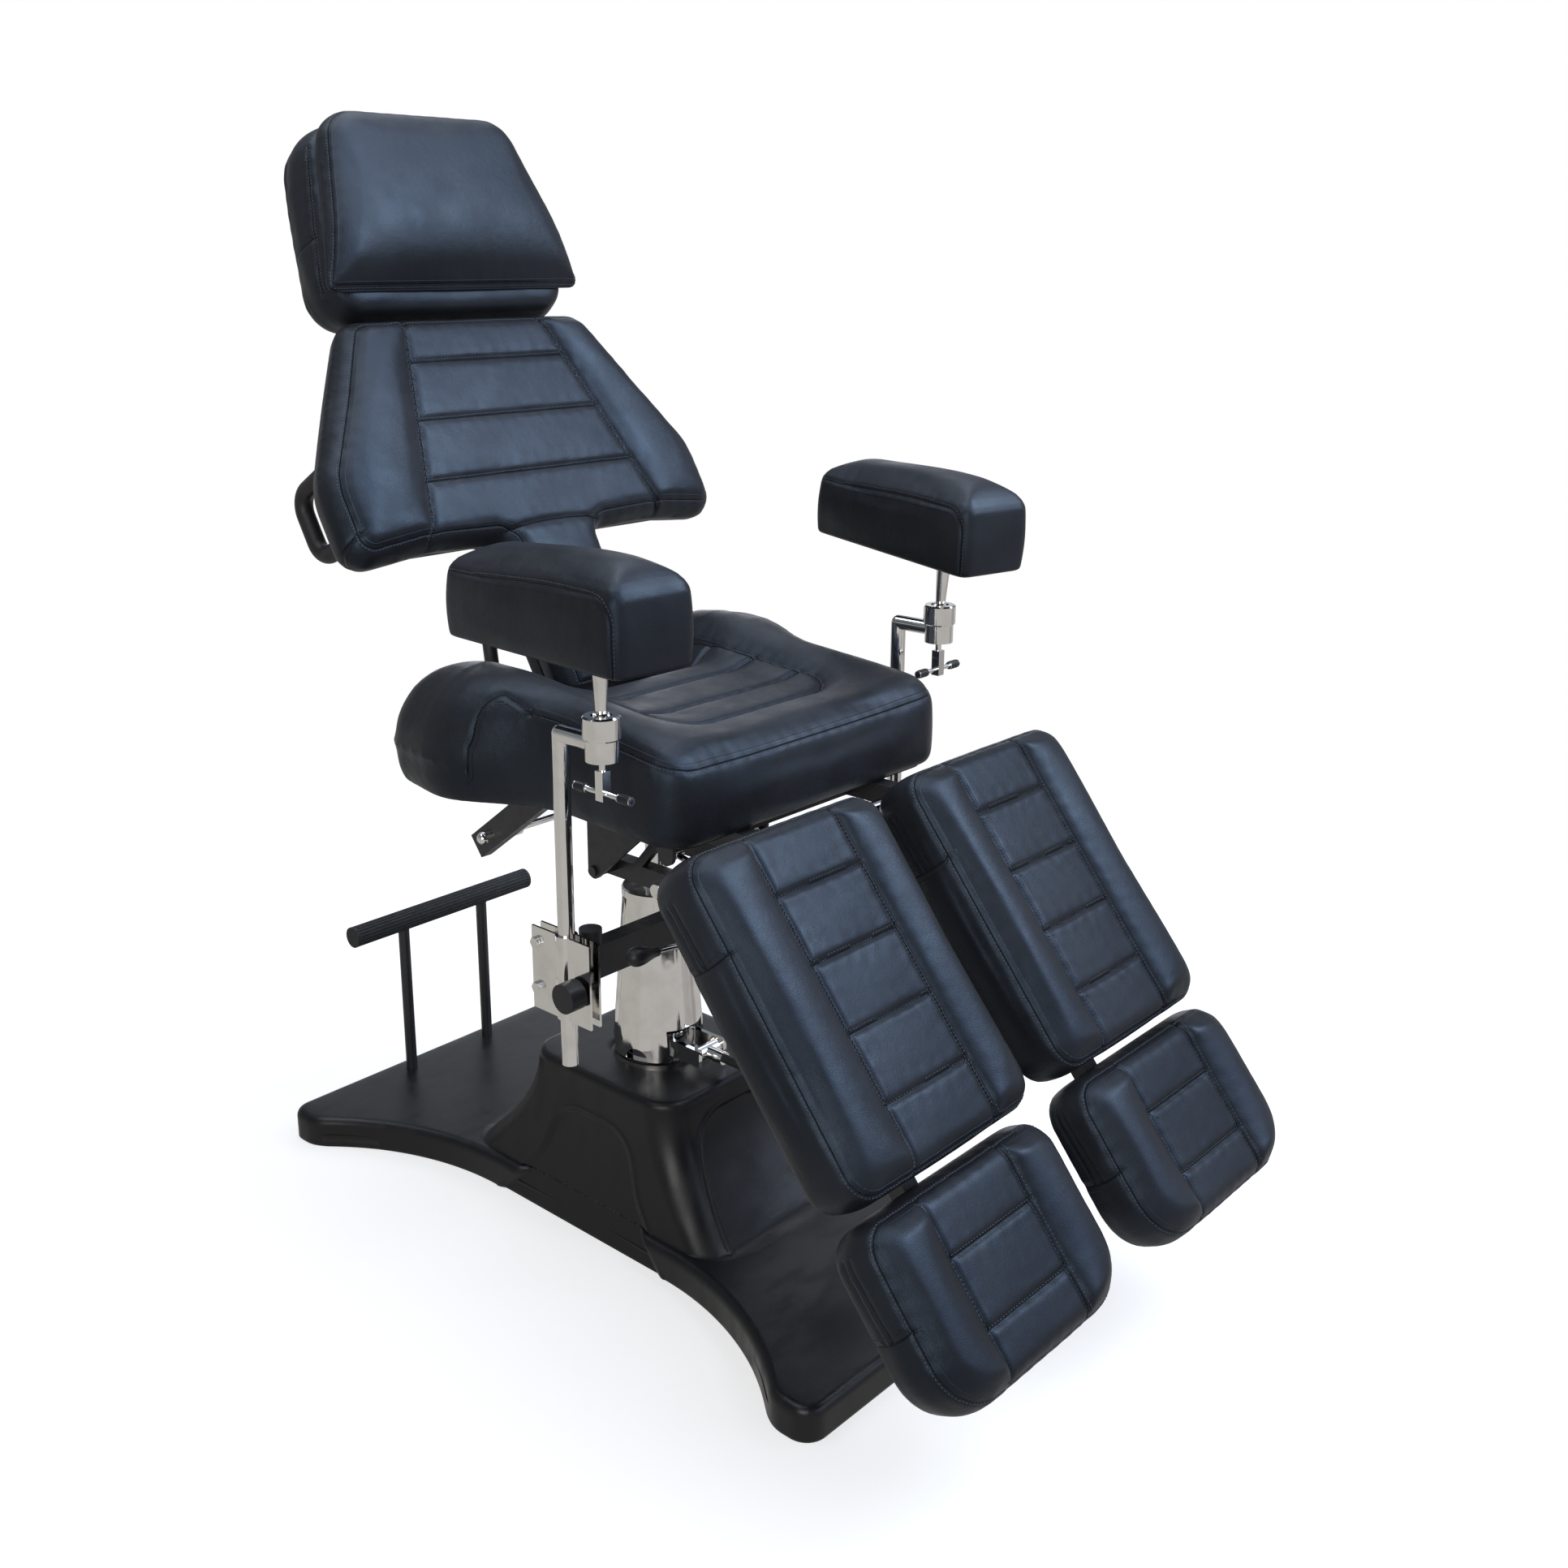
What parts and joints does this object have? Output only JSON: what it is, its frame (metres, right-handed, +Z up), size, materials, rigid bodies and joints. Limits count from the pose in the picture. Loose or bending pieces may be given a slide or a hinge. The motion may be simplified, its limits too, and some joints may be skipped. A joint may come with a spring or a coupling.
{
  "type": "hydraulic tattoo chair",
  "caption": "Black upholstered tattoo chair on a hydraulic pump base with reclining back, tilting headrest, split leg rests and swivelling armrests.",
  "frame": {"origin": "floor level under the middle of the base, on the axis of the pump", "axes": "+Z up, the sitter looks along -Y, the sitter's left is +X"},
  "size_m": [0.7529, 1.3125, 1.4528],
  "materials": {
    "upholstery": "satin",
    "board": "matte",
    "black_steel": "satin",
    "chrome": "polished",
    "cover_plastic": "satin",
    "knob_plastic": "satin",
    "rubber": "matte"
  },
  "bodies": {
    "base": {"base_plate": "black_steel", "base_cover": "cover_plastic", "foot_bar_frame": "black_steel", "foot_bar_grip": "rubber", "pump_drum": "chrome", "pump_shroud": "chrome"},
    "lift": {"ram": "chrome"},
    "seat": {"seat_frame": "black_steel", "hinge_rods": "chrome", "hanging_frame": "black_steel", "arm_cross_bar": "black_steel", "clamp_plates": "chrome", "clamp_bolts": "chrome", "seat_board": "board", "seat_cushion": "upholstery"},
    "pedal": {"pedal_clamp": "chrome", "pedal_lever": "rubber"},
    "release": {"release_lever": "chrome"},
    "back": {"back_cushion": "upholstery", "back_board": "board", "back_frame": "black_steel", "grab_handles": "knob_plastic"},
    "headrest_slide": {"headrest_stems": "chrome"},
    "headrest": {"headrest_cushion": "upholstery", "headrest_base_cushion": "upholstery", "headrest_board": "board", "headrest_hinge": "black_steel"},
    "back_spring_lower": {"back_spring_rod": "chrome"},
    "back_spring_upper": {"back_spring_tube": "black_steel"},
    "height_knob_right": {"height_knob_right": "knob_plastic"},
    "bar_knob_right": {"bar_knob_right": "knob_plastic"},
    "arm_post_right": {"arm_pole_right": "chrome"},
    "arm_ball_right": {"arm_ball_seat_right": "chrome"},
    "arm_rest_right": {"arm_stem_right": "chrome", "arm_pad_right": "upholstery"},
    "tee_right": {"tee_handle_right": "chrome"},
    "leg_right": {"leg_cushion_right": "upholstery", "leg_board_right": "board", "leg_frame_right": "black_steel"},
    "foot_right": {"foot_cushion_right": "upholstery", "foot_board_right": "board", "foot_frame_right": "black_steel"},
    "leg_spring_lower_right": {"leg_spring_rod_right": "chrome"},
    "leg_spring_upper_right": {"leg_spring_tube_right": "black_steel"},
    "height_knob_left": {"height_knob_left": "knob_plastic"},
    "bar_knob_left": {"bar_knob_left": "knob_plastic"},
    "arm_post_left": {"arm_pole_left": "chrome"},
    "arm_ball_left": {"arm_ball_seat_left": "chrome"},
    "arm_rest_left": {"arm_stem_left": "chrome", "arm_pad_left": "upholstery"},
    "tee_left": {"tee_handle_left": "chrome"},
    "leg_left": {"leg_cushion_left": "upholstery", "leg_board_left": "board", "leg_frame_left": "black_steel"},
    "foot_left": {"foot_cushion_left": "upholstery", "foot_board_left": "board", "foot_frame_left": "black_steel"},
    "leg_spring_lower_left": {"leg_spring_rod_left": "chrome"},
    "leg_spring_upper_left": {"leg_spring_tube_left": "black_steel"}
  },
  "joints": [
    {"name": "lift_slide", "type": "slide", "parent": "base", "child": "lift", "axis": [0, 0, 1], "range_m": [-0.025, 0.14]},
    {"name": "seat_swivel", "type": "hinge", "parent": "lift", "child": "seat", "pos_m": [0, 0, 0.604], "axis": [0, 0, 1], "continuous": true},
    {"name": "pump_pedal", "type": "hinge", "parent": "base", "child": "pedal", "pos_m": [0, -0.092, 0.242], "axis": [1, 0, 0], "range_deg": [0, 18], "stiffness_Nm_per_rad": 12, "springref_deg": -6.88},
    {"name": "release_lever", "type": "hinge", "parent": "seat", "child": "release", "pos_m": [-0.112, -0.25, 0.498], "axis": [0, 1, 0], "range_deg": [0, 12], "stiffness_Nm_per_rad": 1.5, "springref_deg": -8.59},
    {"name": "back_recline", "type": "hinge", "parent": "seat", "child": "back", "pos_m": [0, 0.1, 0.66], "axis": [-1, 0, 0], "range_deg": [-8, 50]},
    {"name": "headrest_height", "type": "slide", "parent": "back", "child": "headrest_slide", "axis": [0, 0.512, 0.859], "range_m": [0, 0.08]},
    {"name": "headrest_tilt", "type": "hinge", "parent": "headrest_slide", "child": "headrest", "pos_m": [0, 0.45522, 1.19952], "axis": [-1, 0, 0], "range_deg": [0, 30]},
    {"name": "back_spring_swing", "type": "hinge", "parent": "seat", "child": "back_spring_lower", "pos_m": [-0.07, 0.2139, 0.5078], "axis": [-1, 0, 0], "range_deg": [-6, 35]},
    {"name": "back_spring_follow", "type": "hinge", "parent": "back", "child": "back_spring_upper", "pos_m": [-0.07, 0.2631, 0.8644], "axis": [-1, 0, 0], "range_deg": [-17, 3]},
    {"name": "height_knob_right", "type": "hinge", "parent": "seat", "child": "height_knob_right", "pos_m": [-0.33, -0.195, 0.471], "axis": [-1, 0, 0], "continuous": true},
    {"name": "bar_knob_right", "type": "hinge", "parent": "seat", "child": "bar_knob_right", "pos_m": [-0.272, -0.166, 0.52], "axis": [0, 0, 1], "continuous": true},
    {"name": "arm_height_right", "type": "slide", "parent": "seat", "child": "arm_post_right", "axis": [0, 0, 1], "range_m": [-0.04, 0.1]},
    {"name": "arm_turn_right", "type": "hinge", "parent": "arm_post_right", "child": "arm_ball_right", "pos_m": [-0.309, -0.234, 0.7925], "axis": [0, 0, 1], "range_deg": [-100, 100]},
    {"name": "arm_tilt_right", "type": "hinge", "parent": "arm_ball_right", "child": "arm_rest_right", "pos_m": [-0.309, -0.234, 0.7925], "axis": [0.9976, -0.0698, 0], "range_deg": [-8, 8]},
    {"name": "tee_spin_right", "type": "hinge", "parent": "arm_post_right", "child": "tee_right", "pos_m": [-0.309, -0.234, 0.72], "axis": [0, 0, 1], "continuous": true},
    {"name": "leg_raise_right", "type": "hinge", "parent": "seat", "child": "leg_right", "pos_m": [-0.186, -0.31, 0.622], "axis": [-1, 0, 0], "range_deg": [0, 51]},
    {"name": "foot_slide_right", "type": "slide", "parent": "leg_right", "child": "foot_right", "axis": [0, -0.6266, -0.7793], "range_m": [-0.01, 0.12]},
    {"name": "leg_spring_swing_right", "type": "hinge", "parent": "seat", "child": "leg_spring_lower_right", "pos_m": [-0.075, -0.11, 0.5535], "axis": [-1, 0, 0], "range_deg": [0, 18]},
    {"name": "leg_spring_follow_right", "type": "hinge", "parent": "leg_right", "child": "leg_spring_upper_right", "pos_m": [-0.075, -0.36562, 0.49873], "axis": [-1, 0, 0], "range_deg": [-34, 0]},
    {"name": "height_knob_left", "type": "hinge", "parent": "seat", "child": "height_knob_left", "pos_m": [0.33, -0.195, 0.471], "axis": [1, 0, 0], "continuous": true},
    {"name": "bar_knob_left", "type": "hinge", "parent": "seat", "child": "bar_knob_left", "pos_m": [0.272, -0.166, 0.52], "axis": [0, 0, 1], "continuous": true},
    {"name": "arm_height_left", "type": "slide", "parent": "seat", "child": "arm_post_left", "axis": [0, 0, 1], "range_m": [-0.04, 0.1]},
    {"name": "arm_turn_left", "type": "hinge", "parent": "arm_post_left", "child": "arm_ball_left", "pos_m": [0.309, -0.234, 0.8195], "axis": [0, 0, 1], "range_deg": [-100, 100]},
    {"name": "arm_tilt_left", "type": "hinge", "parent": "arm_ball_left", "child": "arm_rest_left", "pos_m": [0.309, -0.234, 0.8195], "axis": [0.9781, -0.2079, 0], "range_deg": [-8, 8]},
    {"name": "tee_spin_left", "type": "hinge", "parent": "arm_post_left", "child": "tee_left", "pos_m": [0.309, -0.234, 0.747], "axis": [0, 0, 1], "continuous": true},
    {"name": "leg_raise_left", "type": "hinge", "parent": "seat", "child": "leg_left", "pos_m": [0.186, -0.31, 0.622], "axis": [-1, 0, 0], "range_deg": [0, 51]},
    {"name": "foot_slide_left", "type": "slide", "parent": "leg_left", "child": "foot_left", "axis": [0, -0.6266, -0.7793], "range_m": [-0.01, 0.12]},
    {"name": "leg_spring_swing_left", "type": "hinge", "parent": "seat", "child": "leg_spring_lower_left", "pos_m": [0.075, -0.11, 0.5535], "axis": [-1, 0, 0], "range_deg": [0, 18]},
    {"name": "leg_spring_follow_left", "type": "hinge", "parent": "leg_left", "child": "leg_spring_upper_left", "pos_m": [0.075, -0.36562, 0.49873], "axis": [-1, 0, 0], "range_deg": [-34, 0]}
  ],
  "couplings": [
    {"joint": "back_spring_swing", "follows": "back_recline", "ratio": 0.68},
    {"joint": "back_spring_follow", "follows": "back_recline", "ratio": -0.32},
    {"joint": "leg_spring_swing_right", "follows": "leg_raise_right", "ratio": 0.348},
    {"joint": "leg_spring_follow_right", "follows": "leg_raise_right", "ratio": -0.652},
    {"joint": "leg_spring_swing_left", "follows": "leg_raise_left", "ratio": 0.348},
    {"joint": "leg_spring_follow_left", "follows": "leg_raise_left", "ratio": -0.652}
  ]
}
